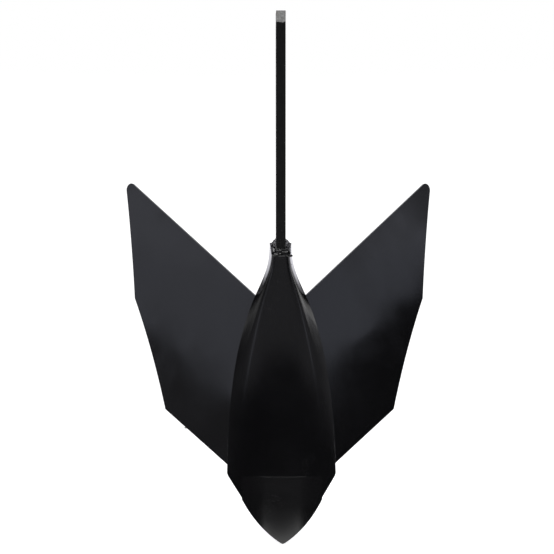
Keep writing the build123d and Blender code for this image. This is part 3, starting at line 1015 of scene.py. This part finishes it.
fork_start = (bar_back - hinge[1]) / cos(lean) - bracket_grip
fork_ends = (fork_start + 1, fork_start + bracket_grip - 2)
beads = []
for side in (-1, 1):
    for face in (-1, 1):
        run = [level(side * bar_half, y, face * bracket_thick / 2) for y in fork_ends]
        seed = 90 + 2 * side + face
        beads.append(bead(run, X_WAY * side, up_way * face, leg=4.4, seed=seed))
weld("bracket_beads", beads, "root", ["bracket_welds"])

# ---- Floor, light and camera ----


def pale_floor(name, seen_glow, mirrored_glow):
    """Pale matt floor that keeps its shadows, with a glow for the camera and for what mirrors it."""
    fixed = {"Base Color": (0.93, 0.93, 0.93), "Roughness": 0.9, "Emission Strength": 1.0}
    finish = Finish(name, **fixed)
    seen = finish.node("ShaderNodeLightPath", {}, {}, "Is Camera Ray")
    mirrored = finish.node("ShaderNodeLightPath", {}, {}, "Is Glossy Ray")
    glow = finish.blend(black, white, seen * seen_glow + mirrored * mirrored_glow)
    finish.give(finish.shader.inputs["Emission Color"], glow)
    return finish.material


def lay_floor(half, z, finish):
    """Level square floor, as part of the stage."""
    mesh = bpy.data.meshes.new("floor")
    corners = [(-half, -half, z), (half, -half, z), (half, half, z), (-half, half, z)]
    mesh.from_pydata(corners, [], [(0, 1, 2, 3)])
    mesh.materials.append(finish)
    made = bpy.data.objects.new("floor", mesh)
    bpy.context.scene.collection.objects.link(made)


lay_floor(floor_half * MM, cad_box[0][2] - floor_drop * MM, pale_floor("pale_floor", 0.94, 0.3))


def card(name, middle, across, up, size, radiance, colour=white):
    """Rectangular lamp round its middle, with its size along across and up, all in metres.

    It shines away from across x up, and looks as bright as radiance, where 1 is white.
    """
    data = bpy.data.lights.new(name, "AREA")
    data.shape = "RECTANGLE"
    data.size, data.size_y = size
    data.energy = radiance * pi * size[0] * size[1]
    data.color = colour
    lamp = bpy.data.objects.new(name, data)
    across, up = Vector(across).normalized(), Vector(up).normalized()
    turn = Matrix((across, up, across.cross(up))).transposed().to_4x4()
    lamp.matrix_world = Matrix.Translation(Vector(middle)) @ turn
    bpy.context.scene.collection.objects.link(lamp)
    return lamp


# Side cards, far off: each wing mirrors the slanting lower edge of its card as the line where its
# sheen ends. They reach back just far enough for the wing's tip, or the breast's flanks show them.
card_x = 4.0
for name, side, edge_middle, slant, size, radiance in (
    ("right_card", 1, (-0.2344, 0.4766), radians(30.7), (0.83, 0.27), 0.72),
    ("left_card", -1, (-0.33, 0.430), radians(24.8), (1.03, 0.385), 0.62),
):
    along = np.array([0.0, cos(slant), sin(slant)])
    rise = np.array([0.0, -sin(slant), cos(slant)])
    middle = np.array([side * card_x, *edge_middle]) + size[1] / 2 * rise
    card(name, middle, side * along, rise, size, radiance, card_blue)

# Near strips behind, one each side, which show as the streaks down the breast's shoulders
strip_size = (0.325, 0.06)
for side, radiance in ((1, 1.2), (-1, 0.3)):
    middle, away = (side * 0.735, 0.518, -0.08), (side * 0.875, 0.485, 0.0)
    card(f"strip_{side}", middle, np.cross((0, 0, 1), away), (0, 0, 1), strip_size, radiance)

# Wide boxes overhead, a bright one and a dimmer one in front of it, and a fill from the front that
# the paint doesn't mirror
card("top_box", (0.0, 0.0, 1.5), (1, 0, 0), (0, 1, 0), (1.8, 0.7), 6.0)
card("brow_box", (0.0, -0.545, 1.5), (1, 0, 0), (0, 1, 0), (1.8, 0.39), 2.8)
fill = card("front_fill", (0.0, -3.6, 1.6), (1, 0, 0), (0, 0.45, 1), (3.5, 2.5), 4.4)
fill.visible_glossy = False


def studio(sky):
    """Colour and strength of the room by direction: plain white to the camera.

    To all else it is dim and barely blue, with paler stretches for the paint to mirror: walls
    behind, in front, at the left and, higher up, all round, which end below the boxes overhead; a
    low stretch at the right; a bright one high up behind; and a nearly white backdrop low behind.
    """
    x, y, z = sky.axes(sky.node("ShaderNodeTexCoord", {}, {}, "Generated"))
    seen = sky.node("ShaderNodeLightPath", {}, {}, "Is Camera Ray")
    not_high = (1 - z.between(0.34, 0.50)) * (1 - (z + 0.26 * y).between(0.27, 0.37))
    walls = y.between(0.03, 0.10) + (y * -1).between(0.35, 0.80) + (x * -1).between(0.5, 0.7) * 0.5
    walls = (walls + z.between(0.225, 0.26)).math("MINIMUM", 1.0) * not_high
    right = x.between(0.3, 0.5) * y.between(0.05, 0.15) * (1 - z.between(0.18, 0.225))
    high_behind = y.between(0.45, 0.70) * z.between(0.28, 0.40)
    backdrop = (y + 0.12 * x).between(0.79, 0.88) * (1 - z.between(0.09, 0.15))
    strength = 0.035 + walls * 0.24 + right * 0.3 + high_behind * 0.9 + backdrop * 0.94
    return sky.blend(room_blue, white, seen), strength.math("MAXIMUM", seen)


world = bpy.data.worlds.new("studio")
bpy.context.scene.world = world
world.use_nodes = True
sky = Nodes(world.node_tree)
colour, strength = studio(sky)
sky.give(world.node_tree.nodes["Background"].inputs["Color"], colour)
sky.give(world.node_tree.nodes["Background"].inputs["Strength"], strength)

# The camera looks level at the breast's upper part, from a little to the left of straight ahead
view_width = 0.6925       # of what it sees at its aim, in metres
distance = 2.78
azimuth = radians(-0.9)
aim = Vector((0.0, neck_front * MM, -0.252))
side_shift = -0.0072
camera_data = bpy.data.cameras.new("camera")
camera = bpy.data.objects.new("camera", camera_data)
camera_data.sensor_width = 36.0
camera_data.lens = camera_data.sensor_width * distance / view_width
camera_data.shift_x = side_shift
camera.location = aim + distance * Vector((sin(azimuth), -cos(azimuth), 0))
camera.rotation_euler = (pi / 2, 0, azimuth)
bpy.context.scene.collection.objects.link(camera)
bpy.context.scene.camera = camera
bpy.context.scene.view_settings.view_transform = "Standard"
